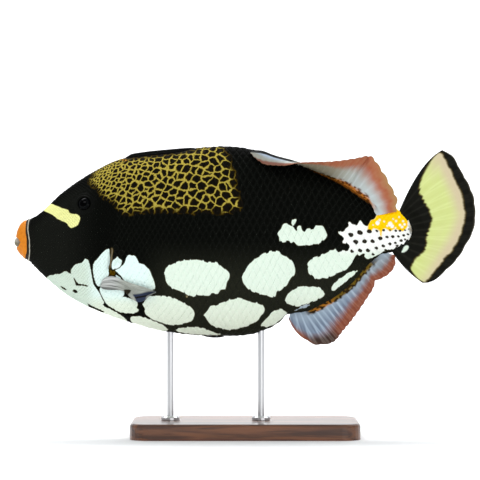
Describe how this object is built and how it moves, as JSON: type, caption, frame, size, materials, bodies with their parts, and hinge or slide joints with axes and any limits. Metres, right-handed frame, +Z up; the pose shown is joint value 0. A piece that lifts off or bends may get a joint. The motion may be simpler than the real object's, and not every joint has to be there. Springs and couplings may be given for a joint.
{
  "type": "clown triggerfish",
  "caption": "Still life-size clown triggerfish with folded trigger spine, rayed soft fins and pebbled scales, held on a flat wooden base by slim steel rods.",
  "frame": {"origin": "centre of the underside of the stand's base", "axes": "the fish looks along -X and its tail points along +X; its left flank faces -Y; +Z is up"},
  "size_m": [0.3457, 0.09, 0.2177],
  "materials": {
    "skin": "black scaled skin with large white spots, a gold netted saddle and a white chest, satin",
    "trigger_spine": "black fluted bone, satin",
    "lips": "orange fleshy lips, satin",
    "teeth": "grey-white enamel, glossy",
    "eyes": "black iris under a clear wet cornea",
    "soft_fins": "pale blue-grey rayed membrane with a salmon red margin",
    "tail_fin": "pale yellow rayed membrane, black at the root and the margin",
    "pectoral_fins": "grey translucent rayed membrane",
    "base_wood": "dark stained wood, satin varnish",
    "rod_steel": "brushed"
  },
  "bodies": {
    "root": {"head": "skin", "trunk": "skin", "tail_stalk": "skin", "pelvic_spine": "skin", "first_dorsal": "trigger_spine", "lip_upper": "lips", "lip_lower": "lips", "teeth_upper": "teeth", "teeth_lower": "teeth", "eye_left": "eyes", "eye_right": "eyes", "soft_dorsal": "soft_fins", "anal_fin": "soft_fins", "caudal_fin": "tail_fin", "pectoral_left": "pectoral_fins", "pectoral_right": "pectoral_fins", "stand_base": "base_wood", "stand_rod_front": "rod_steel", "stand_rod_rear": "rod_steel"}
  },
  "joints": []
}
